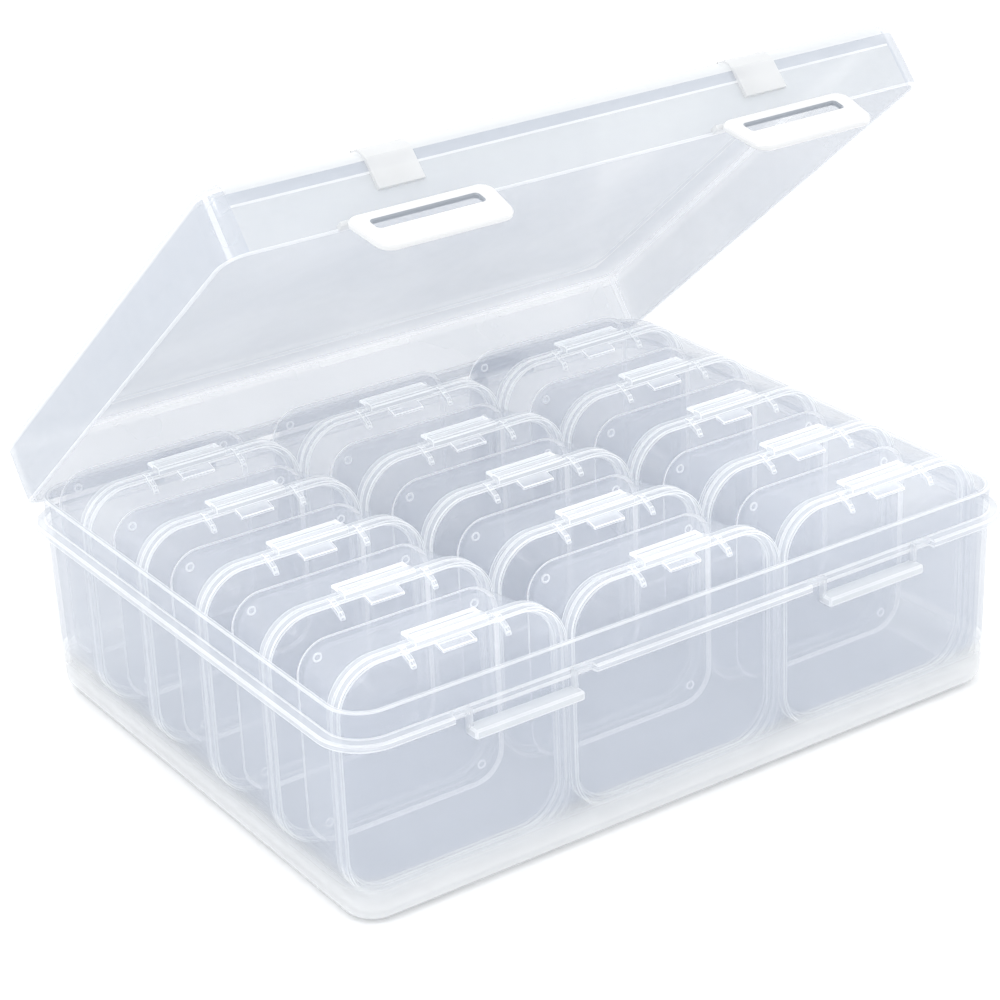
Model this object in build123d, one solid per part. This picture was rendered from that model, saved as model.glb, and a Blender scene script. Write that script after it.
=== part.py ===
from build123d import *
import math
import os

# Bead storage box: a clear case with a hinged lid, holding small flip-top boxes that stand
# on edge in columns and rows with their lids towards the front.
# Millimetres. The origin is the middle of the case's underside, X to the right, Y to the
# back, Z up. The case lid stands part open and its two latch flaps are flared.

# Small box, standing on edge
box_width = 54.0            # across the rims
box_height = 52.5           # across the rims, upwards
box_depth = 25.0            # lid face to tray back
box_corner = 10.5           # corner radius of the rims
box_wall = 1.0
box_end_inset = 3.2         # lid face and tray back, in from the rims all round
corner_flats = 4            # chords in each corner of the repeated boxes, which keeps them light
lid_slope_depth = 4.5       # lid face to the front of the lid rim
lid_slope_inset = 0.6       # foot of the slope, in from the rim
rim_thickness = 2.0         # each of the two rims
rim_gap = 0.1               # between lid rim and tray rim
tray_wall_inset = 1.0       # tray wall at its rim, in from the rim

# Latch of a small box, at the top of its rims
latch_width = 17.0
latch_rise = 1.5
latch_overlap = 1.0         # how far its lip reaches down behind the tray rim
latch_clearance = 0.15
latch_root = 0.5            # how far it is let into the lid's rim
latch_chamfer = 0.6         # along its upper edges
latch_end_chamfer = 1.0     # across its front corners
tab_width = 8.0
tab_reach = 2.6
tab_thickness = 1.1
tab_drop = 0.3              # rim top down to the root of the tab
tab_fall = 0.9              # root of the tab down to its tip
gusset_spacing = 11.0       # each gusset from the middle of the box
gusset_thickness = 1.6
gusset_rise = 0.6
gusset_root = 0.4           # how far it is let into the lid
gusset_foot = 0.9           # its height where it meets the lid face

# Strap hinge of a small box, at the bottom of its rims
strap_width = 11.0
strap_thickness = 0.6       # thin enough to bend where lid and tray meet
strap_lip = 0.3             # rise of its lip behind the tray rim
strap_clearance = 0.15
strap_setback = 0.05        # strap up from the foot of the rims

# How the small boxes stand in the case
columns = ("left", "middle", "right")
rows = 5
column_gap = 1.0
row_gap = 0.7
side_clearance = 0.7        # outer boxes to the case wall, at the top
end_clearance = 1.6         # front and back rows to the case wall, at the top
floor_clearance = 0.1

# Case base
case_height = 48.0
case_wall = 1.2
case_floor = 1.5
case_draft = 0.9            # degrees
case_corner = 8.2           # outer plan corner at the top
case_foot_radius = 4.0      # rounding round the underside
case_inner_chamfer = 1.35   # round the floor inside, which keeps the wall even at the foot
flange_drop = 5.8           # collar top down to the flange
flange_thickness = 1.8
flange_overhang = 2.3

# Case lid
lid_clearance = 0.35        # lid wall to collar
lid_seat_gap = 0.15         # lid edge to flange
lid_wall = 1.2
lid_height = 15.5
lid_skirt = 6.2             # upright part of the lid wall
lid_draft = 2.0             # degrees, above the skirt
lid_edge_radius = 4.5
lid_inner_chamfer = 1.95    # round the ceiling inside, which keeps the wall even at the edge
field_inset = 12.0          # raised field of the lid, in from its edge
field_rise = 0.6
field_corner = 8.0
pad_width = 10.5
pad_drop = 9.7
pad_proud = 0.8
pad_rise = 0.3              # above the lid's top
pad_bend = 1.6              # from the lid's front in to where the pad turns over its edge
pad_shoulder = 3.0          # lid top down to where the pad starts to lean back
lid_opening = 40.0          # degrees that the lid stands open

# Latch flaps of the case lid
flap_side_distance = 39.4   # each latch in from the side of the case
flap_root_width = 33.0
flap_tip_width = 30.0
flap_length = 12.3
flap_thickness = 1.2
flap_corner = 3.0
flap_flare = 37.0           # degrees out from the snapped position
flap_gap = 0.1              # between the lid's ledge and the root of the flap
ledge_thickness = 1.1
slot_length = 24.0
slot_width = 2.1
slot_start = 2.7            # from the flap's hinge line
rib_reach = 0.95
rib_thickness = 1.2
rib_root = 0.3              # how far it is let into the flap
catch_width = 26.0
catch_reach = 3.5           # how far the bar stands out from the wall
catch_thickness = 2.9
catch_drop = 6.2            # flange top down to the underside of the bar
catch_clearance = 0.15
catch_rounding = 1.2
catch_post_width = 1.0      # small upright at each end of the bar
catch_post_reach = 1.1
catch_post_rise = 0.5       # underside of the bar up to the foot of the upright
catch_strip = 1.0           # height of the strip from the upright to the flange
strip_overlap = 0.5         # of that strip with the flange
flange_break = 33.0         # length of flange left out above each bar

# Hinges of the case lid
hinge_side_distance = 38.9  # each hinge in from the side of the case
hinge_setback = 1.0         # axis behind the flange's edge
hinge_rise = 1.0            # axis above the flange
hinge_bar_radius = 1.2
hinge_fit = 0.08            # radial clearance of the hook on its bar
hook_wall = 1.1
hook_width = 11.0
hook_mouth = 100.0          # degrees of the hook left open to snap over the bar
hook_tie_rise = 0.4         # axis up to the underside of the tie from the lid to the hook
ear_width = 2.0
ear_radius = 1.6
ear_step = 0.1              # flange top down to the top of the ear's foot
ear_gap = 0.3               # hook to each ear

# Sizes that follow
column_pitch = box_width + column_gap
row_pitch = box_depth + row_gap
inner_width = len(columns) * column_pitch - column_gap + 2 * side_clearance
inner_depth = rows * row_pitch - row_gap + 2 * end_clearance
outer_width = inner_width + 2 * case_wall
outer_depth = inner_depth + 2 * case_wall
flap_spacing = outer_width / 2 - flap_side_distance
hinge_spacing = outer_width / 2 - hinge_side_distance
flange_top = case_height - flange_drop
flange_bottom = flange_top - flange_thickness
lid_bottom = flange_top + lid_seat_gap
lid_top = lid_bottom + lid_height
lid_width = outer_width + 2 * (lid_clearance + lid_wall)
lid_depth = outer_depth + 2 * (lid_clearance + lid_wall)
lid_corner = case_corner + lid_clearance + lid_wall
hinge_y = outer_depth / 2 + flange_overhang + hinge_setback
hinge_z = flange_top + hinge_rise
lid_hinge = Axis((0, hinge_y, hinge_z), (1, 0, 0))
catch_bottom = flange_top - catch_drop
wall_at_catch = outer_depth / 2 - math.tan(math.radians(case_draft)) * (case_height - catch_bottom)
catch_front = -(wall_at_catch + catch_reach)
flap_y = catch_front - catch_clearance - flap_thickness / 2
flap_z = lid_bottom + ledge_thickness / 2
flap_hinge = Axis((0, flap_y, flap_z), (1, 0, 0))

rim_top = box_height / 2
lid_rim_front = lid_slope_depth
lid_rim_back = lid_rim_front + rim_thickness
tray_front = lid_rim_back + rim_gap
tray_rim_back = tray_front + rim_thickness


def side_profile(points, width, middle=0.0):
    # A solid of the given width along X, from corners given as (y, z).
    face = Plane.YZ.offset(middle - width / 2) * Polygon(*points, align=None)
    return extrude(face, width, dir=(1, 0, 0))


def block(x_span, y_span, z_span):
    # A plain block between two places along each axis.
    size = [high - low for low, high in (x_span, y_span, z_span)]
    middle = [(high + low) / 2 for low, high in (x_span, y_span, z_span)]
    return Pos(*middle) * Box(*size)


def box_points(inset):
    # Corners of a small box's outline, in from its rims, with each corner in chords.
    radius = box_corner - inset
    half_width = box_width / 2 - box_corner
    half_height = box_height / 2 - box_corner
    points = []
    for turn, (side_x, side_z) in enumerate(((1, 1), (-1, 1), (-1, -1), (1, -1))):
        for step in range(corner_flats + 1):
            angle = math.radians(90 * (turn + step / corner_flats))
            points.append((side_x * half_width + radius * math.cos(angle),
                           side_z * half_height + radius * math.sin(angle)))
    return points


def box_form(front, front_inset, back, back_inset):
    # Block between two outlines of a small box, with flat sides that may slope.
    near = [Vector(x, front, z) for x, z in box_points(front_inset)]
    far = [Vector(x, back, z) for x, z in box_points(back_inset)]
    sides = [Face(Wire.make_polygon((near[last], near[index], far[index], far[last])))
             for index, last in ((index, index - 1) for index in range(len(near)))]
    ends = [Face(Wire.make_polygon(ring)) for ring in (near, far)]
    return Solid(Shell(sides + ends))


def box_rim(front, back):
    return box_form(front, 0, back, 0)


def make_tray():
    # Drafted tray, open to the front, with a rim round its mouth, notched below for the strap.
    wall = box_form(tray_front, tray_wall_inset, box_depth, box_end_inset)
    inside = box_form(tray_front, tray_wall_inset + box_wall,
                      box_depth - box_wall, box_end_inset + box_wall)
    half_notch = strap_width / 2 + strap_clearance
    notch = block((-half_notch, half_notch), (tray_front, tray_rim_back),
                  (-rim_top, -rim_top + strap_thickness + strap_clearance))
    rim = box_rim(tray_front, tray_rim_back) - notch
    return wall + rim - inside


def make_box_latch():
    # Bar over both rims, with a lip behind the tray rim and a lift tab.
    under = rim_top + latch_clearance
    top = rim_top + latch_rise
    lip_front = tray_rim_back + latch_clearance
    lip_back = lip_front + box_wall
    bar = side_profile(((lid_rim_front, rim_top - latch_root), (lid_rim_back, rim_top - latch_root),
                        (lid_rim_back, under), (lip_front, under),
                        (lip_front, rim_top - latch_overlap), (lip_back, rim_top - latch_overlap),
                        (lip_back, top - latch_chamfer), (lip_back - latch_chamfer, top),
                        (lid_rim_front + latch_chamfer, top), (lid_rim_front, top - latch_chamfer)),
                       latch_width)
    bar = chamfer(bar.edges().filter_by(Axis.Z).group_by(Axis.Y)[0], latch_end_chamfer)
    tab_top = rim_top - tab_drop
    tip = lid_rim_front - tab_reach
    tab = side_profile(((lid_rim_front + latch_root, tab_top), (tip, tab_top - tab_fall),
                        (tip, tab_top - tab_fall - tab_thickness / 2),
                        (lid_rim_front + latch_root, tab_top - tab_thickness)), tab_width)
    return bar + tab


def make_gusset(side):
    # Fin from the raised rim down the sloped side of the lid to its face.
    face_edge = rim_top - box_end_inset
    slope_top = rim_top - lid_slope_inset - gusset_root
    return side_profile(((lid_rim_back, rim_top + gusset_rise), (lid_rim_front, rim_top + gusset_rise),
                         (gusset_root, face_edge + gusset_foot), (gusset_root, face_edge - gusset_root),
                         (lid_rim_front, slope_top), (lid_rim_back, slope_top)),
                        gusset_thickness, side * gusset_spacing)


def make_strap():
    # Thin strap under both rims, with a lip that catches behind the tray rim.
    low = -rim_top + strap_setback
    high = low + strap_thickness
    lip_front = tray_rim_back + strap_clearance
    lip_back = lip_front + strap_thickness
    root = lid_rim_back - strap_thickness
    return side_profile(((root, low), (lip_back, low), (lip_back, high + strap_lip),
                         (lip_front, high + strap_lip), (lip_front, high), (root, high)), strap_width)


def make_box_lid():
    # Shallow lid with a flat face, sloped sides and a rim that meets the tray's rim.
    shell = box_form(0, box_end_inset, lid_rim_front, lid_slope_inset)
    inside = box_form(box_wall, box_end_inset + box_wall, lid_rim_back, lid_slope_inset + box_wall)
    lid = shell + box_rim(lid_rim_front, lid_rim_back) - inside
    return lid + make_strap() + make_box_latch() + make_gusset(-1) + make_gusset(1)


def plan_outline(width, depth, corner, z):
    return Pos(0, 0, z) * RectangleRounded(width, depth, corner)


def make_tub():
    # Drafted tub with a collar above an outward flange.
    outside = extrude(plan_outline(outer_width, outer_depth, case_corner, case_height),
                      -case_height, taper=case_draft)
    outside = fillet(outside.faces().sort_by(Axis.Z)[0].edges(), case_foot_radius)
    inside = extrude(plan_outline(inner_width, inner_depth, case_corner - case_wall, case_height),
                     case_floor - case_height, taper=case_draft)
    inside = chamfer(inside.faces().sort_by(Axis.Z)[0].edges(), case_inner_chamfer)
    flange = extrude(plan_outline(outer_width + 2 * flange_overhang, outer_depth + 2 * flange_overhang,
                                  case_corner + flange_overhang, flange_bottom), flange_thickness)
    for side in (-1, 1):
        flange -= block((side * flap_spacing - flange_break / 2, side * flap_spacing + flange_break / 2),
                        (-outer_depth, -outer_depth / 2 + case_wall / 2), (0, case_height))
        notch = hook_width + 2 * ear_gap
        flange -= block((side * hinge_spacing - notch / 2, side * hinge_spacing + notch / 2),
                        (outer_depth / 2 - case_wall / 2, outer_depth), (0, case_height))
    return outside + flange, inside


def make_catch(side):
    # Catch bar with rounded ends, and a small upright from each end to the broken flange.
    middle = side * flap_spacing
    wall = -outer_depth / 2 + case_wall / 2
    bar = block((middle - catch_width / 2, middle + catch_width / 2), (catch_front, wall),
                (catch_bottom, catch_bottom + catch_thickness))
    ends = bar.edges().filter_by(Axis.Z).group_by(Axis.Y)[0]
    bar = fillet(ends, catch_rounding)
    front = -outer_depth / 2 - catch_post_reach
    for end in (-1, 1):
        inner = middle + end * (catch_width / 2 - catch_post_width)
        outer = middle + end * catch_width / 2
        flange_end = middle + end * flange_break / 2
        bar += block(sorted((inner, outer)), (front, wall), (catch_bottom + catch_post_rise, flange_top))
        bar += block(sorted((inner, flange_end + end * strip_overlap)), (front, wall),
                     (flange_top - catch_strip, flange_top))
    return bar


def make_hinge_bar(side):
    # Two ears on the back of the flange, with the bar for the lid's hook between them.
    middle = side * hinge_spacing
    inner = hook_width / 2 + ear_gap
    reach = inner + ear_width
    bar = Pos(middle, hinge_y, hinge_z) * Rot(0, 90, 0) * Cylinder(hinge_bar_radius, 2 * reach)
    foot = outer_depth / 2
    for end in (-1, 1):
        place = middle + end * (inner + ear_width / 2)
        bar += Pos(place, hinge_y, hinge_z) * Rot(0, 90, 0) * Cylinder(ear_radius, ear_width)
        bar += side_profile(((foot, flange_bottom), (hinge_y + ear_radius / 2, flange_bottom),
                             (hinge_y + ear_radius, flange_bottom + ear_radius / 2),
                             (hinge_y + ear_radius, hinge_z), (hinge_y - ear_radius, hinge_z),
                             (hinge_y - ear_radius, flange_top - ear_step), (foot, flange_top - ear_step)),
                            ear_width, place)
    return bar


def make_case_base():
    shell, inside = make_tub()
    for side in (-1, 1):
        shell += make_catch(side)
        shell += make_hinge_bar(side)
    return shell - inside


def lid_form(inset, height):
    # Lid as a full block: upright skirt and drafted wall.
    width, depth = lid_width - 2 * inset, lid_depth - 2 * inset
    corner = lid_corner - inset
    skirt = extrude(plan_outline(width, depth, corner, lid_bottom), lid_skirt)
    crown = extrude(plan_outline(width, depth, corner, lid_bottom + lid_skirt),
                    height - lid_skirt, taper=lid_draft)
    return skirt + crown


def make_field(base):
    width, depth = lid_width - 2 * field_inset, lid_depth - 2 * field_inset
    return extrude(plan_outline(width, depth, field_corner, base), field_rise, taper=45)


def make_pad(side):
    # Pad that hangs from the lid's top edge over each latch.
    wall = -lid_depth / 2
    bottom = lid_top - pad_drop
    over = wall + lid_edge_radius
    return side_profile(((wall + lid_wall / 2, bottom), (wall - pad_proud, bottom),
                         (wall - pad_proud / 2, lid_top - pad_shoulder),
                         (wall + pad_bend / 2, lid_top - pad_rise),
                         (over - pad_proud, lid_top + pad_rise), (over, lid_top + pad_rise),
                         (over, lid_top - lid_wall / 2), (wall + pad_bend, lid_top - pad_bend)),
                        pad_width, side * flap_spacing)


def make_ledge(side):
    # Ledge on the lid's front edge that carries the flap.
    front = flap_y + flap_thickness / 2 + flap_gap
    middle = side * flap_spacing
    return block((middle - flap_root_width / 2, middle + flap_root_width / 2),
                 (front, -lid_depth / 2 + lid_wall / 2), (lid_bottom, lid_bottom + ledge_thickness))


def make_hook(side):
    # Open ring on the lid's back edge that snaps over the hinge bar.
    inner = hinge_bar_radius + hinge_fit
    outer = inner + hook_wall
    start = -90 - hook_mouth / 2
    ring = Circle(outer) - Circle(inner)
    mouth = Polygon((0, 0), *[(3 * outer * math.cos(math.radians(start + step * hook_mouth / 4)),
                               3 * outer * math.sin(math.radians(start + step * hook_mouth / 4)))
                              for step in range(5)], align=None)
    place = Plane(origin=(side * hinge_spacing - hook_width / 2, hinge_y, hinge_z),
                  x_dir=(0, 1, 0), z_dir=(1, 0, 0))
    hook = extrude(place * (ring - mouth), hook_width)
    root = lid_depth / 2 - lid_wall / 2
    tie = side_profile(((root, hinge_z + hook_tie_rise), (hinge_y - inner, hinge_z + hook_tie_rise),
                        (hinge_y - inner, hinge_z + inner), (hinge_y, hinge_z + outer),
                        (root, hinge_z + outer)), hook_width, side * hinge_spacing)
    return hook + tie


def make_case_lid():
    outside, inside = lid_form(0, lid_height), lid_form(lid_wall, lid_height - lid_wall)
    outside = fillet(outside.faces().sort_by(Axis.Z)[-1].edges(), lid_edge_radius)
    inside = chamfer(inside.faces().sort_by(Axis.Z)[-1].edges(), lid_inner_chamfer)
    outside += make_field(lid_top)
    inside += make_field(lid_top - lid_wall)
    for side in (-1, 1):
        outside += make_pad(side) + make_ledge(side)
    lid = outside - inside
    for side in (-1, 1):
        lid += make_hook(side)
    return lid


def make_flap(side):
    # Flap as it hangs when snapped: rounded root, long slot and the rib that grips the catch bar.
    middle = side * flap_spacing
    root, tip = flap_root_width / 2, flap_tip_width / 2
    outline = Polygon((-root, 0), (-tip, -flap_length), (tip, -flap_length), (root, 0), align=None)
    outline = fillet(outline.vertices().group_by(Axis.Y)[0], flap_corner)
    slot_middle = -slot_start - slot_width / 2
    outline -= Pos(0, slot_middle) * Rectangle(slot_length, slot_width)
    place = Plane(origin=(middle, flap_y - flap_thickness / 2, flap_z), x_dir=(1, 0, 0), z_dir=(0, -1, 0))
    flap = extrude(place * outline, flap_thickness, dir=(0, 1, 0))
    flap += Pos(middle, flap_y, flap_z) * Rot(0, 90, 0) * Cylinder(flap_thickness / 2, flap_root_width)
    rib_top = catch_bottom - catch_clearance
    inner = flap_y + flap_thickness / 2
    flap += side_profile(((inner - rib_root, rib_top), (inner + rib_reach, rib_top),
                          (inner + rib_reach, rib_top - rib_thickness / 2), (inner, rib_top - rib_thickness),
                          (inner - rib_root, rib_top - rib_thickness)), slot_length, middle)
    return flap.rotate(flap_hinge, -flap_flare)


def opened(piece):
    # What belongs to the lid, swung up to where the lid stands.
    return piece.rotate(lid_hinge, -lid_opening)


def write(piece, name):
    piece.label = name
    export_step(piece, os.path.join("parts", name + ".step"))


def main():
    os.makedirs("parts", exist_ok=True)
    write(make_case_base(), "case_base")
    write(opened(make_case_lid()), "case_lid")
    write(opened(make_flap(-1)), "latch_left")
    write(opened(make_flap(1)), "latch_right")
    tray, lid = make_tray(), make_box_lid()
    base_height = case_floor + floor_clearance + box_height / 2
    front = -(rows * row_pitch - row_gap) / 2
    for column, side in enumerate(columns):
        across = (column - (len(columns) - 1) / 2) * column_pitch
        for row in range(rows):
            place = Pos(across, front + row * row_pitch, base_height)
            write(place * tray, f"box_tray_row{row + 1}_{side}")
            write(place * lid, f"box_lid_row{row + 1}_{side}")


main()
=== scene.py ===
import math

import bmesh
import bpy
from mathutils import Matrix, Vector


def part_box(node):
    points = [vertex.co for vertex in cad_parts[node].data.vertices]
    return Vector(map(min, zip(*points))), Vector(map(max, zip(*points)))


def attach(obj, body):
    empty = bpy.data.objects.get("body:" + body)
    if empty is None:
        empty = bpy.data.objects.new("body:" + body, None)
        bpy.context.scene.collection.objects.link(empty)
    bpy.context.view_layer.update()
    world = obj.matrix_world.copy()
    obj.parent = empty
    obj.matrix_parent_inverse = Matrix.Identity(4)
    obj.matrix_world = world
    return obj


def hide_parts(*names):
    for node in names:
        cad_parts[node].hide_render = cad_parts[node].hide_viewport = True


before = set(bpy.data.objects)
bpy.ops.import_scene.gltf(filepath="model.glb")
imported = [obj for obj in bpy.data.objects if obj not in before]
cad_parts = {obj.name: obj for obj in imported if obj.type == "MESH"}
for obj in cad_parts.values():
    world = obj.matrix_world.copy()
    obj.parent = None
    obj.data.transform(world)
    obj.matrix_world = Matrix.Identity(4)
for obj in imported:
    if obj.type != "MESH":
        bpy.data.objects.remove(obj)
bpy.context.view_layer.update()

mm = 0.001
print("frame loaded")

# Sizes of the object in millimetres, as the frame has them
smallBox = {
    "width": 54.0, "height": 52.5, "depth": 25.0, "corner": 10.5, "wall": 1.0,
    "endInset": 3.2, "slopeDepth": 4.5, "slopeInset": 0.6, "rim": 2.0, "rimGap": 0.1, "wallInset": 1.0,
    "plainFrom": 14.0,  # inset from which an end is one plain face
}
case = {
    "height": 48.0, "width": 167.8, "depth": 133.4, "wall": 1.2, "floor": 1.5, "draft": 0.9, "corner": 8.2,
    "foot": 4.0, "milkHeight": 11.0, "milkReach": 7.0, "flangeTop": 42.2, "flangeThick": 1.8, "overhang": 2.3,
    "breakAt": 44.5, "breakLength": 33.0, "plainFrom": 20.0,
}
lid = {
    "bottom": 42.35, "height": 15.5, "width": 170.9, "depth": 136.5, "corner": 5.5, "wall": 1.2, "skirt": 6.2,
    "draft": 2.0, "edge": 3.4, "lineDrop": 5.6, "fieldInset": 12.0, "fieldRise": 0.6, "fieldCorner": 8.0,
    "hingeY": 70.0, "hingeZ": 43.2, "opening": 40.0, "lineWidth": 0.5, "plainFrom": 40.0,
}
look = {"cornerSteps": 12, "turnSteps": 6}


# Shader groups and materials
def newGroup(name, inputs, outputs):
    # An empty group with named sockets
    group = bpy.data.node_groups.new(name, "ShaderNodeTree")
    for label, kind, value in inputs:
        socket = group.interface.new_socket(label, in_out="INPUT", socket_type=kind)
        socket.default_value = value
    for label, kind in outputs:
        group.interface.new_socket(label, in_out="OUTPUT", socket_type=kind)
    return group, group.nodes.new("NodeGroupInput"), group.nodes.new("NodeGroupOutput")


def makeCloudGroup():
    # Slow change of milkiness in moulded plastic, with fine flow ripple
    group, source, sink = newGroup(
        "mouldedCloud",
        [("Scale", "NodeSocketFloat", 40.0), ("Low", "NodeSocketFloat", 0.2), ("High", "NodeSocketFloat", 0.3),
         ("Ripple", "NodeSocketFloat", 0.05), ("Roughness Low", "NodeSocketFloat", 0.12),
         ("Roughness High", "NodeSocketFloat", 0.25)],
        [("Alpha", "NodeSocketFloat"), ("Roughness", "NodeSocketFloat"), ("Height", "NodeSocketFloat")])
    links, nodes = group.links, group.nodes
    where = nodes.new("ShaderNodeTexCoord")
    cloud = nodes.new("ShaderNodeTexNoise")
    cloud.inputs["Detail"].default_value = 3.0
    links.new(where.outputs["Object"], cloud.inputs["Vector"])
    links.new(source.outputs["Scale"], cloud.inputs["Scale"])
    for low, high, result in (("Low", "High", "Alpha"), ("Roughness Low", "Roughness High", "Roughness")):
        spread = nodes.new("ShaderNodeMapRange")
        spread.inputs["From Min"].default_value = 0.3
        spread.inputs["From Max"].default_value = 0.7
        links.new(cloud.outputs["Fac"], spread.inputs["Value"])
        links.new(source.outputs[low], spread.inputs["To Min"])
        links.new(source.outputs[high], spread.inputs["To Max"])
        links.new(spread.outputs["Result"], sink.inputs[result])
    fine = nodes.new("ShaderNodeTexNoise")
    fine.inputs["Scale"].default_value = 260.0
    fine.inputs["Detail"].default_value = 2.0
    links.new(where.outputs["Object"], fine.inputs["Vector"])
    height = nodes.new("ShaderNodeMath")
    height.operation = "MULTIPLY"
    links.new(fine.outputs["Fac"], height.inputs[0])
    links.new(source.outputs["Ripple"], height.inputs[1])
    links.new(height.outputs[0], sink.inputs["Height"])
    return group


def makeFadeGroup():
    # Full at Low and below, nothing at High and above, by height over the floor
    group, source, sink = newGroup(
        "footFade",
        [("Amount", "NodeSocketFloat", 1.0), ("Low", "NodeSocketFloat", 0.0),
         ("High", "NodeSocketFloat", 0.01)],
        [("Amount", "NodeSocketFloat")])
    links, nodes = group.links, group.nodes
    where = nodes.new("ShaderNodeTexCoord")
    split = nodes.new("ShaderNodeSeparateXYZ")
    links.new(where.outputs["Object"], split.inputs[0])
    fade = nodes.new("ShaderNodeMapRange")
    fade.interpolation_type = "SMOOTHSTEP"
    fade.inputs["To Min"].default_value = 1.0
    fade.inputs["To Max"].default_value = 0.0
    links.new(split.outputs["Z"], fade.inputs["Value"])
    links.new(source.outputs["Low"], fade.inputs["From Min"])
    links.new(source.outputs["High"], fade.inputs["From Max"])
    scaled = nodes.new("ShaderNodeMath")
    scaled.operation = "MULTIPLY"
    links.new(fade.outputs["Result"], scaled.inputs[0])
    links.new(source.outputs["Amount"], scaled.inputs[1])
    links.new(scaled.outputs[0], sink.inputs["Amount"])
    return group


cloudGroup = makeCloudGroup()
fadeGroup = makeFadeGroup()


def plastic(name, colour, low, high, rough=(0.08, 0.18), ripple=0.0, rimAlpha=0.25, coat=0.0, glow=0.0,
            fade=None):
    # Thin moulded polypropylene, see-through face on and milky along its edges. low and high are how solid it
    # looks, rimAlpha adds to that where it turns away, glow is painted light, an emission standing in for the
    # light that it pipes, and fade is the two heights between which it fades out
    made = bpy.data.materials.new(name)
    made.use_nodes = True
    nodes, links = made.node_tree.nodes, made.node_tree.links
    shader = nodes["Principled BSDF"]
    cloud = nodes.new("ShaderNodeGroup")
    cloud.node_tree = cloudGroup
    for label, value in (("Low", low), ("High", high), ("Ripple", ripple),
                         ("Roughness Low", rough[0]), ("Roughness High", rough[1])):
        cloud.inputs[label].default_value = value
    shader.inputs["Base Color"].default_value = (*colour, 1.0)
    shader.inputs["IOR"].default_value = 1.49
    shader.inputs["Coat Weight"].default_value = coat
    shader.inputs["Coat Roughness"].default_value = 0.05
    # Painted light: the emission below makes the finish glow with no lamp, standing in for light piped along its
    # edges
    shader.inputs["Emission Color"].default_value = (*colour, 1.0)
    shader.inputs["Emission Strength"].default_value = glow
    facing = nodes.new("ShaderNodeLayerWeight")
    facing.inputs["Blend"].default_value = 0.35
    edge = nodes.new("ShaderNodeMath")
    edge.operation = "MULTIPLY_ADD"
    edge.use_clamp = True
    edge.inputs[1].default_value = rimAlpha
    links.new(facing.outputs["Facing"], edge.inputs[0])
    links.new(cloud.outputs["Alpha"], edge.inputs[2])
    links.new(cloud.outputs["Roughness"], shader.inputs["Roughness"])
    alpha = edge.outputs[0]
    if fade:
        footFade = nodes.new("ShaderNodeGroup")
        footFade.node_tree = fadeGroup
        footFade.inputs["Low"].default_value, footFade.inputs["High"].default_value = fade
        links.new(alpha, footFade.inputs["Amount"])
        alpha = footFade.outputs["Amount"]
    links.new(alpha, shader.inputs["Alpha"])
    if ripple:
        bump = nodes.new("ShaderNodeBump")
        bump.inputs["Strength"].default_value = 0.15
        bump.inputs["Distance"].default_value = 0.0002
        links.new(cloud.outputs["Height"], bump.inputs["Height"])
        links.new(bump.outputs["Normal"], shader.inputs["Normal"])
    return made


# Finishes with a glow carry painted light. The edge and line finishes are milky plastic edges, painted whiter and
# glowing as painted highlights
finishes = {
    "caseWall": plastic("caseWall", (0.69, 0.735, 0.82), 0.16, 0.21, rimAlpha=0.30),
    "caseSoft": plastic("caseSoft", (0.88, 0.91, 0.955), 0.20, 0.30, rimAlpha=0.30, glow=0.02),
    "caseEdgeHighlight": plastic("caseEdgeHighlight", (0.95, 0.97, 1.00), 0.44, 0.58, coat=0.3, glow=0.10),
    "catchMilk": plastic("catchMilk", (0.90, 0.93, 0.96), 0.36, 0.46, ripple=0.05, coat=0.2, glow=0.02),
    "caseFoot": plastic("caseFoot", (0.93, 0.945, 0.96), 0.56, 0.70, rimAlpha=0.20, glow=0.06,
                        fade=(0.001, 0.014)),
    "lidWall": plastic("lidWall", (0.69, 0.735, 0.81), 0.30, 0.36, rimAlpha=0.20),
    "lidInner": plastic("lidInner", (0.71, 0.755, 0.83), 0.26, 0.32, rimAlpha=0.20),
    # Painted light: the lid's front wall in a lighter copy of lidWall, as its lit side
    "lidFrontLit": plastic("lidFrontLit", (0.80, 0.83, 0.85), 0.30, 0.38, rimAlpha=0.20),
    "lidSeam": plastic("lidSeam", (0.94, 0.96, 0.98), 0.50, 0.62, glow=0.05),
    "lidLineHighlight": plastic("lidLineHighlight", (0.97, 0.98, 1.00), 0.74, 0.84, glow=0.20),
    "lidShade": plastic("lidShade", (0.60, 0.645, 0.72), 0.42, 0.50, rimAlpha=0.20),
    # Painted highlight: the front of the lid's crown rounding as a whiter, more solid band
    "lidCrownHighlight": plastic("lidCrownHighlight", (0.86, 0.885, 0.905), 0.66, 0.76, rimAlpha=0.30),
    "boxWall": plastic("boxWall", (0.84, 0.88, 0.955), 0.08, 0.12, rimAlpha=0.30),
    "boxRim": plastic("boxRim", (0.90, 0.93, 0.975), 0.18, 0.28, coat=0.3, glow=0.05),
    "boxEdgeHighlight": plastic("boxEdgeHighlight", (0.96, 0.98, 1.00), 0.44, 0.58, coat=0.3, glow=0.20),
    "boxLineHighlight": plastic("boxLineHighlight", (0.97, 0.98, 1.00), 0.66, 0.80, coat=0.3, glow=0.28),
    "boxLatch": plastic("boxLatch", (0.89, 0.92, 0.96), 0.24, 0.34, ripple=0.05, coat=0.3),
    "padMilk": plastic("padMilk", (0.92, 0.935, 0.95), 0.58, 0.70, ripple=0.05, coat=0.2, glow=0.02),
    "latchWhite": plastic("latchWhite", (0.87, 0.88, 0.89), 0.88, 0.95, ripple=0.05, coat=0.2),
    "slotShade": plastic("slotShade", (0.44, 0.48, 0.54), 0.74, 0.84),
}
print("materials made")


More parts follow.
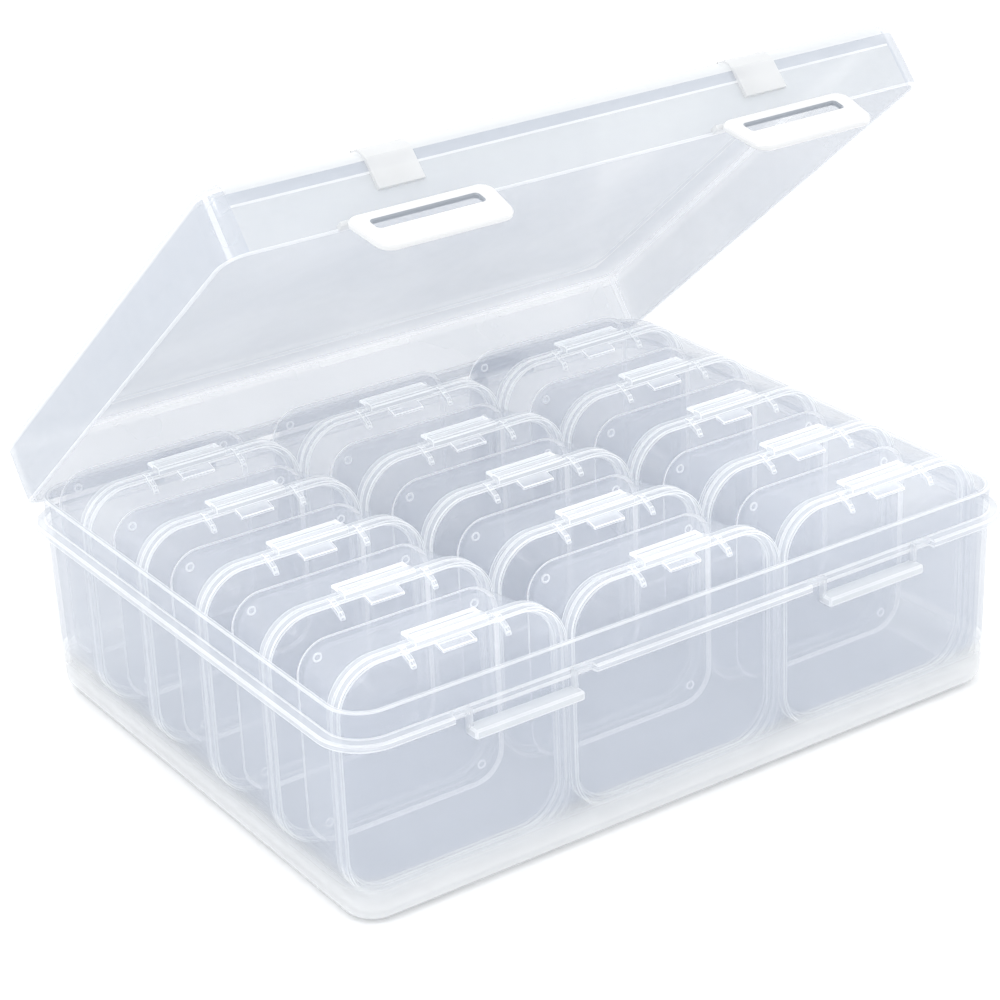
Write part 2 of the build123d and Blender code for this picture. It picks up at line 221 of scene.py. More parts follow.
def roundedPoints(width, height, corner, frontBreaks=(), backBreaks=()):
    # Points round a rounded rectangle, anticlockwise from its right side, with more at the breaks in two sides
    corner = max(corner, 0.05)
    points = []
    for turn, (sideX, sideY) in enumerate(((1, 1), (-1, 1), (-1, -1), (1, -1))):
        for step in range(look["cornerSteps"] + 1):
            angle = math.radians(90 * (turn + step / look["cornerSteps"]))
            points.append((sideX * (width / 2 - corner) + corner * math.cos(angle),
                           sideY * (height / 2 - corner) + corner * math.sin(angle)))
        if turn == 0:
            points += [(x, height / 2) for x in backBreaks]
        if turn == 2:
            points += [(x, -height / 2) for x in frontBreaks]
    return points


def roundedProfile(corners):
    # Corners are (inset, level, radius, finish of what follows, finish of the rounding); rounds each one
    made = []
    for index, (inset, level, radius, after, turnFinish) in enumerate(corners):
        here = Vector((inset, level))
        if radius <= 0 or index in (0, len(corners) - 1):
            made.append((inset, level, after))
            continue
        back = (Vector(corners[index - 1][:2]) - here).normalized()
        ahead = (Vector(corners[index + 1][:2]) - here).normalized()
        half = back.angle(ahead) / 2
        reach = radius / math.tan(half)
        centre = here + (back + ahead).normalized() * (radius / math.sin(half))
        start, end = here + back * reach - centre, here + ahead * reach - centre
        sweep = start.angle_signed(end)
        for step in range(look["turnSteps"] + 1):
            turned = start.copy()
            turned.rotate(Matrix.Rotation(-sweep * step / look["turnSteps"], 2))
            finish = after if step == look["turnSteps"] else (turnFinish or after)
            made.append((centre.x + turned.x, centre.y + turned.y, finish))
    return made


def loft(bm, profile, width, height, corner, toWorld, palette, frontBreaks=(), insetAt=None, fieldCorner=None,
         cornerHighlight=None, elsewhere=None, backBreaks=()):
    # Joins rings of a rounded rectangle along a profile and closes both ends. cornerHighlight draws a painted
    # highlight strip in the front corners, and elsewhere swaps finishes on all sides but the front
    frontStart = 3 * (look["cornerSteps"] + 1) - 1 + len(backBreaks)
    rings = []
    for inset, level, finish in profile:
        ringCorner = corner - inset
        if fieldCorner is not None and inset > fieldCorner[0] - 0.01:
            ringCorner = fieldCorner[1] - (inset - fieldCorner[0])
        ring = []
        for x, y in roundedPoints(width - 2 * inset, height - 2 * inset, ringCorner, frontBreaks, backBreaks):
            if insetAt:
                x, y = insetAt(x, y, inset, level)
            ring.append(bm.verts.new(toWorld(x, y, level)))
        rings.append((ring, finish))
    for (ring, finish), (following, _) in zip(rings, rings[1:]):
        for index in range(len(ring)):
            after = (index + 1) % len(ring)
            face = bm.faces.new((ring[index], ring[after], following[after], following[index]))
            shown = finish
            if elsewhere and not frontStart <= index <= frontStart + len(frontBreaks):
                shown = elsewhere.get(finish, finish)
            if cornerHighlight and finish == cornerHighlight[0]:
                step = index % (look["cornerSteps"] + 1)
                inFront = index < 4 * (look["cornerSteps"] + 1)
                if inFront and cornerHighlight[1] <= step < cornerHighlight[2]:
                    shown = cornerHighlight[3]
            face.material_index = palette.index(shown)
            face.smooth = True
    for ring, finish in (rings[0], rings[-1]):
        face = bm.faces.new(ring)
        face.material_index = palette.index(finish)


def finishMesh(name, bm, palette, body, sharp=40.0):
    # Cleans the mesh, turns its faces outwards and hands it to its body
    bmesh.ops.remove_doubles(bm, verts=bm.verts, dist=0.00001 * 0.5)
    bmesh.ops.dissolve_degenerate(bm, edges=bm.edges, dist=0.000005)
    bmesh.ops.recalc_face_normals(bm, faces=bm.faces)
    for edge in bm.edges:
        if len(edge.link_faces) == 2 and edge.calc_face_angle(0) > math.radians(sharp):
            edge.smooth = False
    mesh = bpy.data.meshes.new(name)
    bm.to_mesh(mesh)
    bm.free()
    for finish in palette:
        mesh.materials.append(finishes[finish])
    piece = bpy.data.objects.new(name, mesh)
    bpy.context.scene.collection.objects.link(piece)
    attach(piece, body)
    return piece


def addBlock(bm, low, high, palette, finish, bevel=0.0, turn=None, edge=None):
    # A block between two corners in millimetres, its rounded edges in a finish of their own
    part = bmesh.new()
    bmesh.ops.create_cube(part, size=1.0)
    for vert in part.verts:
        vert.co = Vector(((low[i] + high[i]) / 2 + vert.co[i] * (high[i] - low[i])) * mm for i in range(3))
    rounded = ()
    if bevel:
        rounded = bmesh.ops.bevel(part, geom=list(part.edges), offset=bevel * mm, segments=3, affect="EDGES",
                                  profile=0.5)["faces"]
    joinInto(bm, part, palette, finish, turn, edge, rounded)


def addProfile(bm, points, low, high, palette, finish, bevel=0.0, turn=None, edge=None):
    # A solid along X between low and high, from corners given as (y, z) in millimetres
    part = bmesh.new()
    face = part.faces.new([part.verts.new((low * mm, y * mm, z * mm)) for y, z in points])
    grown = bmesh.ops.extrude_face_region(part, geom=[face])
    bmesh.ops.translate(part, verts=[v for v in grown["geom"] if isinstance(v, bmesh.types.BMVert)],
                        vec=((high - low) * mm, 0, 0))
    bmesh.ops.recalc_face_normals(part, faces=part.faces)
    rounded = ()
    if bevel:
        rounded = bmesh.ops.bevel(part, geom=list(part.edges), offset=bevel * mm, segments=3, affect="EDGES",
                                  profile=0.5, clamp_overlap=True)["faces"]
    joinInto(bm, part, palette, finish, turn, edge, rounded)


def joinInto(bm, part, palette, finish, turn=None, edge=None, rounded=()):
    # Adds the made part to the piece, in its finish
    if turn is not None:
        part.transform(turn)
    for face in part.faces:
        face.material_index = palette.index(finish)
        face.smooth = True
    for face in rounded:
        face.material_index = palette.index(edge or finish)
    mesh = bpy.data.meshes.new("part")
    part.to_mesh(mesh)
    part.free()
    bm.from_mesh(mesh)
    bpy.data.meshes.remove(mesh)


def addRing(bm, centre, radius, thick, height, palette, finish):
    # A small raised ring on a face that looks to the back
    part = bmesh.new()
    around, across = 20, 8
    rings = []
    for step in range(around):
        angle = 2 * math.pi * step / around
        ring = []
        for turn in range(across):
            tilt = 2 * math.pi * turn / across
            reach = radius + thick * math.cos(tilt)
            ring.append(part.verts.new(((centre[0] + reach * math.cos(angle)) * mm,
                                        (centre[1] + height * math.sin(tilt)) * mm,
                                        (centre[2] + reach * math.sin(angle)) * mm)))
        rings.append(ring)
    for step in range(around):
        here, ahead = rings[step], rings[(step + 1) % around]
        for turn in range(across):
            part.faces.new((here[turn], ahead[turn], ahead[(turn + 1) % across], here[(turn + 1) % across]))
    joinInto(bm, part, palette, finish)


# Small boxes: one tray mesh and one lid mesh, placed fifteen times
def trayProfile():
    # From the middle of the back, round its edge, over the rim and back along the inside
    box = smallBox
    front = box["slopeDepth"] + box["rim"] + box["rimGap"]
    back, depth, wall = front + box["rim"], box["depth"], box["wall"]
    slope = (box["endInset"] - box["wallInset"]) / (depth - front)
    def insetOf(level):
        return box["wallInset"] + slope * (level - front)
    return roundedProfile([
        (box["plainFrom"], depth, 0, "boxWall", None),
        (insetOf(depth), depth, 0.8, "boxWall", "boxLineHighlight"),
        (insetOf(back), back, 0.35, "boxRim", "boxEdgeHighlight"),
        (0.0, back, 0.45, "boxRim", "boxEdgeHighlight"),
        (0.0, front, 0.45, "boxRim", "boxEdgeHighlight"),
        (box["wallInset"] + wall, front, 0.3, "boxWall", "boxEdgeHighlight"),
        (insetOf(depth) + wall, depth - wall, 0.8, "boxWall", "boxWall"),
        (box["plainFrom"], depth - wall, 0, "boxWall", None),
    ])


def boxLidProfile():
    # From the middle of the front, down the slope, over the rim and back along the inside
    box = smallBox
    front, wall = box["slopeDepth"], box["wall"]
    back = front + box["rim"]
    return roundedProfile([
        (box["plainFrom"], 0.0, 0, "boxWall", None),
        (box["endInset"], 0.0, 1.3, "boxWall", "boxWall"),
        (box["slopeInset"], front, 0.3, "boxRim", "boxEdgeHighlight"),
        (0.0, front, 0.25, "boxRim", "boxEdgeHighlight"),
        (0.0, back, 0.45, "boxRim", "boxEdgeHighlight"),
        (box["slopeInset"] + wall, back, 0.3, "boxWall", "boxEdgeHighlight"),
        (box["slopeInset"] + wall, front, 0.3, "boxWall", None),
        (box["endInset"] + wall, wall, 0.6, "boxWall", None),
        (box["plainFrom"], wall, 0, "boxWall", None),
    ])


latch = {"width": 17.0, "rise": 1.5, "lip": 1.0, "gap": 0.15, "tabWidth": 8.0, "tabReach": 2.6,
         "tabThick": 1.1, "gussetAt": 11.0, "gussetThick": 1.3, "gussetRise": 0.5,
         "dotAcross": 18.6, "dotUp": 18.8, "dotRadius": 0.85}


def trayExtras(bm, palette):
    # Four small raised rings on the back
    for sideX in (-1, 1):
        for sideZ in (-1, 1):
            addRing(bm, (sideX * latch["dotAcross"], smallBox["depth"], sideZ * latch["dotUp"]),
                    latch["dotRadius"], 0.22, 0.16, palette, "boxLineHighlight")


def lidExtras(bm, palette):
    # Latch bar with a recess behind it, lift tab, and a gusset at each side
    top = smallBox["height"] / 2
    front = smallBox["slopeDepth"]
    rimBack = front + smallBox["rim"]
    lipFront = rimBack + smallBox["rimGap"] + smallBox["rim"] + latch["gap"]
    lipBack = lipFront + smallBox["wall"]
    half = latch["width"] / 2
    high, under = top + latch["rise"], top + latch["gap"]
    addProfile(bm, ((front, top - 0.3), (rimBack, top - 0.3), (rimBack, under), (rimBack + 0.9, under),
                    (rimBack + 0.9, high - 0.4), (rimBack + 0.4, high), (front + 0.5, high), (front, high - 0.5)),
               -half, half, palette, "boxLatch", 0.25, edge="boxEdgeHighlight")
    addProfile(bm, ((rimBack + 0.8, under), (lipFront, under), (lipFront, top - latch["lip"]),
                    (lipBack, top - latch["lip"]), (lipBack, high - 0.9), (rimBack + 0.8, high - 0.9)),
               -half, half, palette, "boxRim", 0.1)
    for low, deep in ((rimBack + 0.7, rimBack + 1.2), (lipBack - 0.7, lipBack)):
        addProfile(bm, ((low, high - 1.0), (deep, high - 1.0), (deep, high - 0.3), (low, high - 0.3)),
                   -half, half, palette, "boxEdgeHighlight", 0.15)
    for side in (-1, 1):
        ends = sorted((side * half, side * (half - 0.6)))
        addProfile(bm, ((rimBack + 0.7, high - 1.0), (lipBack, high - 1.0), (lipBack, high - 0.3),
                        (rimBack + 0.7, high - 0.3)), ends[0], ends[1], palette, "boxEdgeHighlight", 0.15)
    tabTop = top - 0.3
    halfTab = latch["tabWidth"] / 2
    addProfile(bm, ((front + 0.4, tabTop), (front - latch["tabReach"], tabTop - 0.9),
                    (front - latch["tabReach"], tabTop - 0.9 - latch["tabThick"] * 0.6),
                    (front + 0.4, tabTop - latch["tabThick"])), -halfTab, halfTab, palette, "boxRim", 0.2,
               edge="boxLineHighlight")
    edge = top - smallBox["endInset"]
    for side in (-1, 1):
        middle = side * latch["gussetAt"]
        rise = latch["gussetRise"]
        foot = top - smallBox["slopeInset"] - 0.4
        addProfile(bm, ((rimBack, top + rise), (front + 0.4, top + rise), (front - 0.8, top - 0.2),
                        (front - 2.4, top - 1.0), (1.5, edge + 1.3), (1.2, edge + 0.55), (front + 0.3, foot),
                        (rimBack, foot)),
                   middle - latch["gussetThick"] / 2, middle + latch["gussetThick"] / 2, palette, "boxRim", 0.2,
                   edge="boxEdgeHighlight")


def placeBoxes():
    # Each box goes where the frame has its tray: middle of its width, back of its depth, middle of its height
    palette = ["boxWall", "boxRim", "boxEdgeHighlight", "boxLineHighlight", "boxLatch"]
    masters = {}
    for kind, profile, extras in (("tray", trayProfile(), trayExtras), ("lid", boxLidProfile(), lidExtras)):
        bm = bmesh.new()
        loft(bm, profile, smallBox["width"], smallBox["height"], smallBox["corner"],
             lambda x, y, level: Vector((x, level, y)) * mm, palette)
        extras(bm, palette)
        masters[kind] = bm
    for column in ("left", "middle", "right"):
        for row in range(1, 6):
            low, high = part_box(f"box_tray_row{row}_{column}")
            middle = Vector(((low.x + high.x) / 2, high.y - smallBox["depth"] * mm, (low.z + high.z) / 2))
            for kind in ("tray", "lid"):
                bm = masters[kind].copy()
                bmesh.ops.translate(bm, verts=bm.verts, vec=middle)
                piece = finishMesh(f"small_{kind}_row{row}_{column}", bm, palette, f"box_row{row}_{column}")
                piece.visible_shadow = False  # light passes the clear boxes; the case casts the shadow
                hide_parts(f"box_{kind}_row{row}_{column}")
    for bm in masters.values():
        bm.free()
    print("small boxes placed")


# Case base
def wallInset(level):
    # How far the drafted wall has drawn in at a level
    return math.tan(math.radians(case["draft"])) * (case["height"] - level)


def caseProfile():
    # From the middle of the underside, up the outside, over the flange and the rim, and down the inside
    bottom = case["flangeTop"] - case["flangeThick"]
    inner, floor = case["wall"], case["floor"]
    return roundedProfile([
        (case["plainFrom"], 0.0, 0, "caseWall", None),
        (wallInset(0) + case["milkReach"], 0.0, 0, "caseFoot", None),
        (wallInset(0), 0.0, case["foot"], "caseFoot", "caseFoot"),
        (wallInset(case["milkHeight"]), case["milkHeight"], 0, "caseWall", None),
        (wallInset(bottom), bottom, 0.4, "caseSoft", "caseEdgeHighlight"),
        (-case["overhang"], bottom, 0.5, "caseSoft", "caseEdgeHighlight"),
        (-case["overhang"], case["flangeTop"], 0.5, "caseSoft", "caseEdgeHighlight"),
        (wallInset(case["flangeTop"]), case["flangeTop"], 0.3, "caseWall", "caseEdgeHighlight"),
        (0.0, case["height"], 0.4, "caseSoft", "caseEdgeHighlight"),
        (inner, case["height"], 0.4, "caseWall", "caseEdgeHighlight"),
        (inner + wallInset(case["milkHeight"]), case["milkHeight"], 0, "caseFoot", None),
        (inner + wallInset(floor), floor, case["foot"] - inner, "caseWall", "caseFoot"),
        (case["plainFrom"], floor, 0, "caseWall", None),
    ])


def flangeBreaks(at, length, soft):
    # Where the flange stops and starts again on each side of the middle
    half = length / 2
    places = []
    for middle in (-at, at):
        places += [middle - half - soft, middle - half, middle + half, middle + half + soft]
    return places


def brokenFlange(x, y, inset, level):
    # Draws the flange back to the wall above each catch bar and at each hinge hook
    flat = wallInset(level)
    wallAt = case["depth"] / 2 - flat
    overBar = abs(abs(x) - case["breakAt"]) < case["breakLength"] / 2 + 0.2
    atHook = abs(abs(x) - hinge["at"]) < hinge["inner"] + 0.05
    if inset < flat and overBar and y < -wallAt:
        y = -wallAt
    if inset < flat and atHook and y > wallAt:
        y = wallAt
    return x, y


catch = {"width": 26.0, "front": -70.01, "bottom": 36.0, "thick": 2.1, "postWidth": 1.0, "postReach": 1.1}
hinge = {"at": 45.0, "y": 70.0, "z": 43.2, "bar": 1.2, "ear": 1.6, "earWidth": 2.0, "inner": 5.8,
         "hook": 2.38, "hookInner": 1.28, "hookHalf": 5.5, "hookStart": -40.0, "hookSweep": 260.0}


def addRod(bm, centre, radius, half, palette, finish, start=0.0, sweep=360.0, inner=0.0, turn=None):
    # A round bar, or part of a tube, along X
    part = bmesh.new()
    steps = 32
    outerRing = [(centre[1] + radius * math.cos(math.radians(start + sweep * k / steps)),
                  centre[2] + radius * math.sin(math.radians(start + sweep * k / steps)))
                 for k in range(steps + 1)]
    if inner:
        innerRing = [(centre[1] + inner * math.cos(math.radians(start + sweep * k / steps)),
                      centre[2] + inner * math.sin(math.radians(start + sweep * k / steps)))
                     for k in range(steps, -1, -1)]
        outline = outerRing + innerRing
    else:
        outline = outerRing[:-1]
    ends = []
    for x in (centre[0] - half, centre[0] + half):
        ends.append([part.verts.new((x * mm, y * mm, z * mm)) for y, z in outline])
    count = len(outline)
    for k in range(count):
        part.faces.new((ends[0][k], ends[0][(k + 1) % count], ends[1][(k + 1) % count], ends[1][k]))
    if inner:
        for end in ends:
            for k in range(steps):
                part.faces.new((end[k], end[k + 1], end[count - 2 - k], end[count - 1 - k]))
    else:
        for end in ends:
            part.faces.new(end)
    bmesh.ops.recalc_face_normals(part, faces=part.faces)
    joinInto(bm, part, palette, finish, turn)


def buildCase():
    palette = ["caseWall", "caseSoft", "caseEdgeHighlight", "caseFoot", "catchMilk"]
    bm = bmesh.new()
    loft(bm, caseProfile(), case["width"], case["depth"], case["corner"],
         lambda x, y, level: Vector((x, y, level)) * mm, palette,
         flangeBreaks(case["breakAt"], case["breakLength"], 0.4), brokenFlange,
         backBreaks=flangeBreaks(hinge["at"], 2 * hinge["inner"], 0.2)[::-1])
    wall = -case["depth"] / 2 + case["wall"] / 2
    for side in (-1, 1):
        middle = side * case["breakAt"]
        addBlock(bm, (middle - catch["width"] / 2, catch["front"], catch["bottom"]),
                 (middle + catch["width"] / 2, wall, catch["bottom"] + catch["thick"]), palette, "catchMilk", 0.5,
                 edge="caseEdgeHighlight")
        for end in (-1, 1):
            edge = middle + end * catch["width"] / 2
            inner = edge - end * catch["postWidth"]
            reach = -case["depth"] / 2 - catch["postReach"]
            addBlock(bm, (min(inner, edge), reach, catch["bottom"] + 0.5),
                     (max(inner, edge), wall, case["flangeTop"]), palette, "caseSoft", 0.2)
            flangeEnd = middle + end * (case["breakLength"] / 2 + 0.5)
            addBlock(bm, (min(inner, flangeEnd), reach, case["flangeTop"] - 1.0),
                     (max(inner, flangeEnd), wall, case["flangeTop"]), palette, "caseSoft", 0.2)
        hingeAt = side * hinge["at"]
        addRod(bm, (hingeAt, hinge["y"], hinge["z"]), hinge["bar"], hinge["inner"] + 0.5, palette, "caseSoft")
        for end in (-1, 1):
            place = hingeAt + end * (hinge["inner"] + hinge["earWidth"] / 2)
            foot, low = case["depth"] / 2, case["flangeTop"] - case["flangeThick"]
            y, z, ear = hinge["y"], hinge["z"], hinge["ear"]
            outline = [(foot, low), (y + ear * 0.5, low), (y + ear, low + 1.0)]
            outline += [(y + ear * math.cos(math.radians(a)), z + ear * math.sin(math.radians(a)))
                        for a in range(0, 181, 20)]
            outline += [(y - ear, case["flangeTop"] - 0.1), (foot, case["flangeTop"] - 0.1)]
            addProfile(bm, outline, place - hinge["earWidth"] / 2, place + hinge["earWidth"] / 2,
                       palette, "caseSoft", 0.15)
    piece = finishMesh("case_tub", bm, palette, "case")
    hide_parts("case_base")
    print("case made")


# Case lid, made shut and swung up to where it stands
lidSwing = (Matrix.Translation((0, lid["hingeY"] * mm, lid["hingeZ"] * mm))
            @ Matrix.Rotation(math.radians(-lid["opening"]), 4, "X")
            @ Matrix.Translation((0, -lid["hingeY"] * mm, -lid["hingeZ"] * mm)))


def lidProfile():
    # From the middle of the top, over its raised field and edge, down the outside and back along the inside
    top = lid["bottom"] + lid["height"]
    skirtTop = lid["bottom"] + lid["skirt"]
    lean = math.tan(math.radians(lid["draft"]))
    wall, rise = lid["wall"], lid["fieldRise"]
    outerTop = lean * (top - skirtTop)
    innerTop = wall + lean * (top - wall - skirtTop)
    field = lid["fieldInset"]
    lineAt = top - lid["lineDrop"]
    lineLow = lineAt - lid["lineWidth"]
    return roundedProfile([
        (lid["plainFrom"], top + rise, 0, "lidWall", None),
        (field + rise, top + rise, 0.3, "lidWall", "caseSoft"),
        (field, top, 0.3, "lidWall", "caseSoft"),
        # Painted highlight on the crown's rounding, painted shade in the band under it, and the front wall below
        # the seam painted lighter as its lit side; the other sides swap these for plain finishes
        (outerTop, top, lid["edge"], "lidShade", "lidCrownHighlight"),
        (lean * (lineAt - skirtTop), lineAt, 0, "lidSeam", None),
        (lean * (lineLow - skirtTop), lineLow, 0, "lidFrontLit", None),
        (0.0, skirtTop, 0.6, "lidFrontLit", "lidFrontLit"),
        (0.0, lid["bottom"], 0.35, "caseEdgeHighlight", "caseEdgeHighlight"),
        (wall, lid["bottom"], 0.35, "lidInner", "caseEdgeHighlight"),
        (wall, skirtTop, 0.6, "lidInner", "lidInner"),
        (innerTop, top - wall, 0.9, "lidWall", "lidLineHighlight"),
        (field, top - wall, 0.3, "lidWall", "caseSoft"),
        (field + rise, top - wall + rise, 0.3, "lidWall", "caseSoft"),
        (lid["plainFrom"], top - wall + rise, 0, "lidWall", None),
    ])


pad = {"width": 10.5, "drop": 9.7, "proud": 0.8, "ledgeWidth": 33.0, "ledgeFront": -70.06, "ledgeThick": 1.1}


def buildLid():
    palette = ["lidWall", "lidInner", "lidFrontLit", "lidShade", "lidSeam", "lidLineHighlight", "lidCrownHighlight",
               "caseSoft", "caseEdgeHighlight", "padMilk"]
    bm = bmesh.new()
    # The lid's front keeps its painted light: the lit front wall, the band of painted shade and the crown's
    # painted highlight; elsewhere gives the other sides plain finishes, and the corners get a painted highlight
    # strip
    loft(bm, lidProfile(), lid["width"], lid["depth"], lid["corner"],
         lambda x, y, level: lidSwing @ (Vector((x, y, level)) * mm), palette,
         fieldCorner=(lid["fieldInset"], lid["fieldCorner"]), cornerHighlight=("lidInner", 5, 7, "lidLineHighlight"),
         elsewhere={"lidFrontLit": "lidWall", "lidShade": "lidWall", "lidSeam": "lidWall", "lidCrownHighlight": "caseSoft"})
    top, wall = lid["bottom"] + lid["height"], -lid["depth"] / 2
    for side in (-1, 1):
        middle = side * case["breakAt"]
        half = pad["width"] / 2
        addProfile(bm, ((wall + 0.6, top - pad["drop"]), (wall - pad["proud"], top - pad["drop"]),
                        (wall - pad["proud"] + 0.3, top - 3.0), (wall + 1.0, top - 0.4), (wall + 3.6, top + 0.3),
                        (wall + lid["edge"], top + 0.3), (wall + lid["edge"], top - 0.6), (wall + 1.6, top - 2.2)),
                   middle - half, middle + half, palette, "padMilk", 0.25, lidSwing, "caseEdgeHighlight")
        half = pad["ledgeWidth"] / 2
        addBlock(bm, (middle - half, pad["ledgeFront"], lid["bottom"]),
                 (middle + half, wall + 0.6, lid["bottom"] + pad["ledgeThick"]), palette, "padMilk", 0.2, lidSwing)
        hingeAt = side * hinge["at"]
        half, root = hinge["hookHalf"], lid["depth"] / 2 - 0.6
        addRod(bm, (hingeAt, hinge["y"], hinge["z"]), hinge["hook"], half, palette, "caseSoft",
               hinge["hookStart"], hinge["hookSweep"], hinge["hookInner"], lidSwing)
        addProfile(bm, ((root, 43.6), (68.72, 43.6), (69.2, 44.5), (69.8, 45.58), (root, 45.58)),
                   hingeAt - half, hingeAt + half, palette, "caseSoft", 0.0, lidSwing)
    piece = finishMesh("lid_shell", bm, palette, "lid")
    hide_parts("case_lid")
    print("lid made")


flap = {"root": 33.0, "tip": 30.0, "length": 12.3, "thick": 1.2, "corner": 3.2, "soft": 0.3,
        "slotLength": 24.0, "slotWidth": 3.0, "slotMiddle": 3.9, "slotCorner": 0.7,
        "y": -70.761, "z": 42.9, "flare": 37.0, "ribReach": 0.95, "ribDrop": 1.2}


def buildFlap(name, middle):
    # Plate with a long slot, made hanging and then flared on the lid
    palette = ["latchWhite", "slotShade"]
    place = Matrix.Translation((middle * mm, flap["y"] * mm, flap["z"] * mm))
    turn = lidSwing @ place @ Matrix.Rotation(math.radians(-flap["flare"]), 4, "X")
    bm = bmesh.new()
    half, soft, length = flap["thick"] / 2, flap["soft"], flap["length"]
    lean = (flap["root"] - flap["tip"]) / 2 / length

    def outline(inset):
        points = []
        for x, z in roundedPoints(flap["root"] - 2 * inset, length + half - 2 * inset, flap["corner"] - inset):
            down = z - (length - half) / 2
            if down > -length / 2:
                x = math.copysign(min(flap["root"] / 2 - inset, abs(x)), x)
            points.append((x * (1 - lean * max(0.0, -down) * 2 / flap["root"]), down))
        return points

    def slotLine(inset):
        return [(x, z - flap["slotMiddle"]) for x, z in
                roundedPoints(flap["slotLength"] + 2 * inset, flap["slotWidth"] + 2 * inset,
                              flap["slotCorner"] + inset)]

    stations = [(outline(soft), -half), (outline(0.0), -half + soft), (outline(0.0), half - soft),
                (outline(soft), half), (slotLine(soft), half), (slotLine(0.0), half - soft),
                (slotLine(0.0), -half + soft), (slotLine(soft), -half)]
    rings = [[bm.verts.new(turn @ (Vector((x, y, z)) * mm)) for x, z in points] for points, y in stations]
    for index, ring in enumerate(rings):
        following = rings[(index + 1) % len(rings)]
        for step in range(len(ring)):
            after = (step + 1) % len(ring)
            face = bm.faces.new((ring[step], ring[after], following[after], following[step]))
            face.material_index = 1 if index in (4, 5, 6) else 0
            face.smooth = True
    under = catch["bottom"] - flap["z"] - 0.15
    addProfile(bm, ((half - 0.3, under), (half + flap["ribReach"], under),
                    (half + flap["ribReach"], under - 0.6), (half, under - flap["ribDrop"]),
                    (half - 0.3, under - flap["ribDrop"])),
               -flap["slotLength"] / 2, flap["slotLength"] / 2, palette, "latchWhite", 0.1, turn)
    piece = finishMesh(f"{name}_flap", bm, palette, name)
    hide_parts(name)


placeBoxes()
buildCase()
buildLid()
buildFlap("latch_left", -case["breakAt"])
buildFlap("latch_right", case["breakAt"])
print("latches made")


# Floor, light and camera
studio = {"floorSize": 6.0, "floorGlow": 0.12, "worldFill": 0.90, "keyPower": 1.6, "sidePower": 0.9,
          "backPower": 1.6, "sparkPower": 0.5}


def addSeen(nodes, links):
    # 1 where the camera, a reflection or a refraction looks, 0 for the light on the object
    path = nodes.new("ShaderNodeLightPath")
    seen = path.outputs["Is Camera Ray"]
    for kind in ("Is Glossy Ray", "Is Transmission Ray"):
        more = nodes.new("ShaderNodeMath")
        more.operation = "MAXIMUM"
        links.new(seen, more.inputs[0])
        links.new(path.outputs[kind], more.inputs[1])
        seen = more.outputs[0]
    return seen


def makeFloor():
    bm = bmesh.new()
    half = studio["floorSize"] / 2
    corners = ((-half, -half), (half, -half), (half, half), (-half, half))
    bm.faces.new([bm.verts.new((x, y, -0.0002)) for x, y in corners])
    mesh = bpy.data.meshes.new("floor")
    bm.to_mesh(mesh)
    bm.free()
    floor = bpy.data.objects.new("floor", mesh)
    bpy.context.scene.collection.objects.link(floor)
    made = bpy.data.materials.new("floorPaper")
    made.use_nodes = True
    nodes, links = made.node_tree.nodes, made.node_tree.links
    shader = nodes["Principled BSDF"]
    shader.inputs["Base Color"].default_value = (0.93, 0.94, 0.95, 1.0)
    shader.inputs["Roughness"].default_value = 0.9
    shader.inputs["Specular IOR Level"].default_value = 0.1
    shader.inputs["Emission Color"].default_value = (1.0, 1.0, 1.0, 1.0)
    glow = nodes.new("ShaderNodeMath")
    glow.operation = "MULTIPLY"
    glow.inputs[1].default_value = studio["floorGlow"]
    links.new(addSeen(nodes, links), glow.inputs[0])
    links.new(glow.outputs[0], shader.inputs["Emission Strength"])
    mesh.materials.append(made)


def makeWorld():
    world = bpy.data.worlds.new("studioWorld")
    bpy.context.scene.world = world
    world.use_nodes = True
    nodes, links = world.node_tree.nodes, world.node_tree.links
    background = nodes["Background"]
    background.inputs["Color"].default_value = (1.0, 1.0, 1.0, 1.0)
    strength = nodes.new("ShaderNodeMapRange")
    strength.inputs["To Min"].default_value = studio["worldFill"]
    strength.inputs["To Max"].default_value = 1.0
    links.new(addSeen(nodes, links), strength.inputs["Value"])
    links.new(strength.outputs["Result"], background.inputs["Strength"])


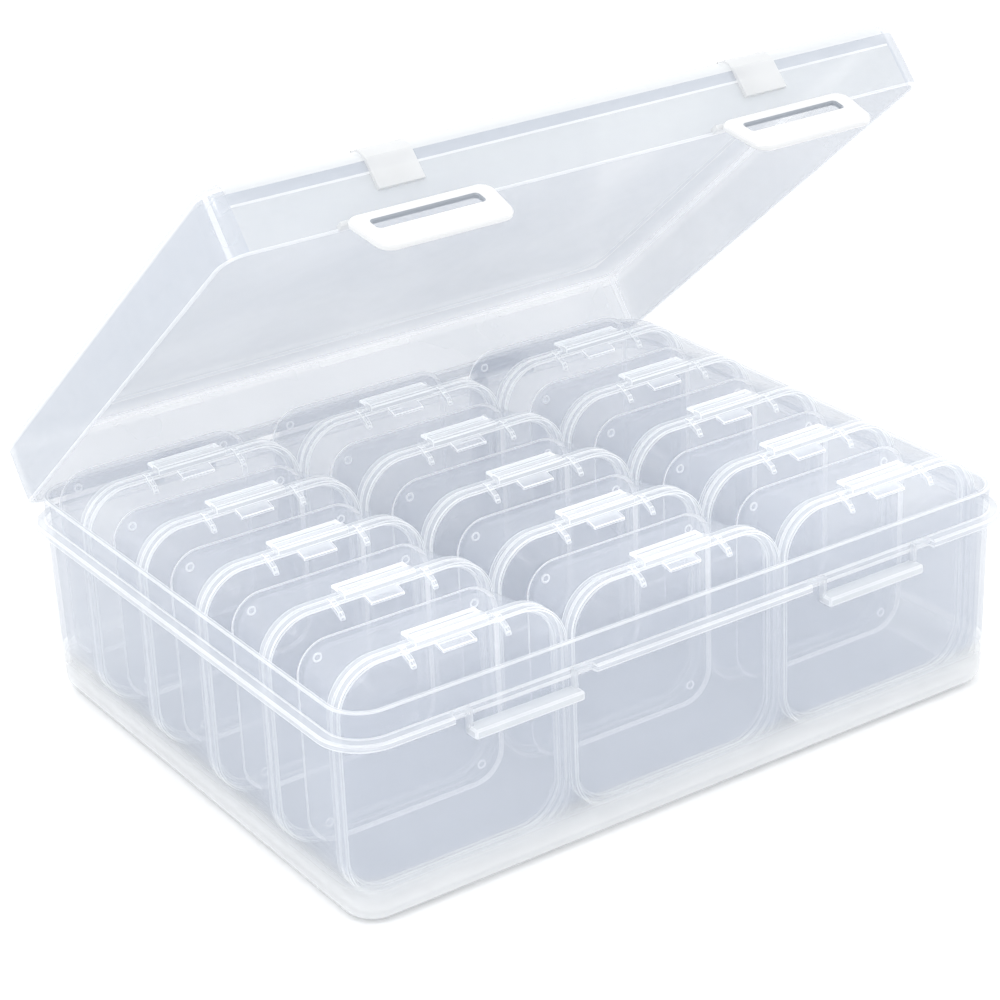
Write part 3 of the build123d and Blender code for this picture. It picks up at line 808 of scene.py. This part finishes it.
def makeLamp(name, place, target, size, power):
    data = bpy.data.lights.new(name, "AREA")
    data.shape = "RECTANGLE"
    data.size, data.size_y = size
    data.energy = power
    lamp = bpy.data.objects.new(name, data)
    lamp.location = place
    lamp.rotation_mode = "QUATERNION"
    lamp.rotation_quaternion = (Vector(target) - Vector(place)).to_track_quat("-Z", "Y")
    bpy.context.scene.collection.objects.link(lamp)


def makeCamera():
    # Placed by azimuth, elevation, roll and distance from a point over the case
    shot = {"azimuth": 33.64, "elevation": 24.85, "roll": -2.40, "distance": 0.6346,
            "target": (0.00387, 0.01065, 0.040), "lens": 102.04}
    azimuth, elevation, roll = (math.radians(shot[key]) for key in ("azimuth", "elevation", "roll"))
    ahead = Vector((math.sin(azimuth) * math.cos(elevation), math.cos(azimuth) * math.cos(elevation),
                    -math.sin(elevation)))
    right = Vector((math.cos(azimuth), -math.sin(azimuth), 0.0))
    up = right.cross(ahead)
    across = right * math.cos(roll) + up * math.sin(roll)
    upward = up * math.cos(roll) - right * math.sin(roll)
    data = bpy.data.cameras.new("camera")
    data.lens = shot["lens"]
    data.sensor_width = 36.0
    data.clip_start, data.clip_end = 0.01, 50.0
    camera = bpy.data.objects.new("camera", data)
    place = Vector(shot["target"]) - ahead * shot["distance"]
    turn = Matrix((across, upward, -ahead)).transposed().to_4x4()
    camera.matrix_world = Matrix.Translation(place) @ turn
    bpy.context.scene.collection.objects.link(camera)
    bpy.context.scene.camera = camera


makeFloor()
makeWorld()
makeLamp("keyLamp", (-0.5, -0.5, 0.9), (0, 0, 0.05), (0.7, 0.7), studio["keyPower"])
makeLamp("sideLamp", (0.8, -0.3, 0.5), (0, 0, 0.05), (0.5, 0.8), studio["sidePower"])
makeLamp("backLamp", (0.1, 0.8, 0.7), (0, 0, 0.06), (0.8, 0.4), studio["backPower"])
makeLamp("sparkLamp", (-0.35, -0.25, 0.7), (0, 0, 0.05), (0.10, 0.10), studio["sparkPower"])
makeCamera()
bpy.context.scene.view_settings.view_transform = "Standard"
cycles = bpy.context.scene.cycles
cycles.max_bounces, cycles.diffuse_bounces, cycles.glossy_bounces, cycles.transmission_bounces = 5, 3, 2, 2
cycles.transparent_max_bounces = 56
print("stage, lamps and camera set")
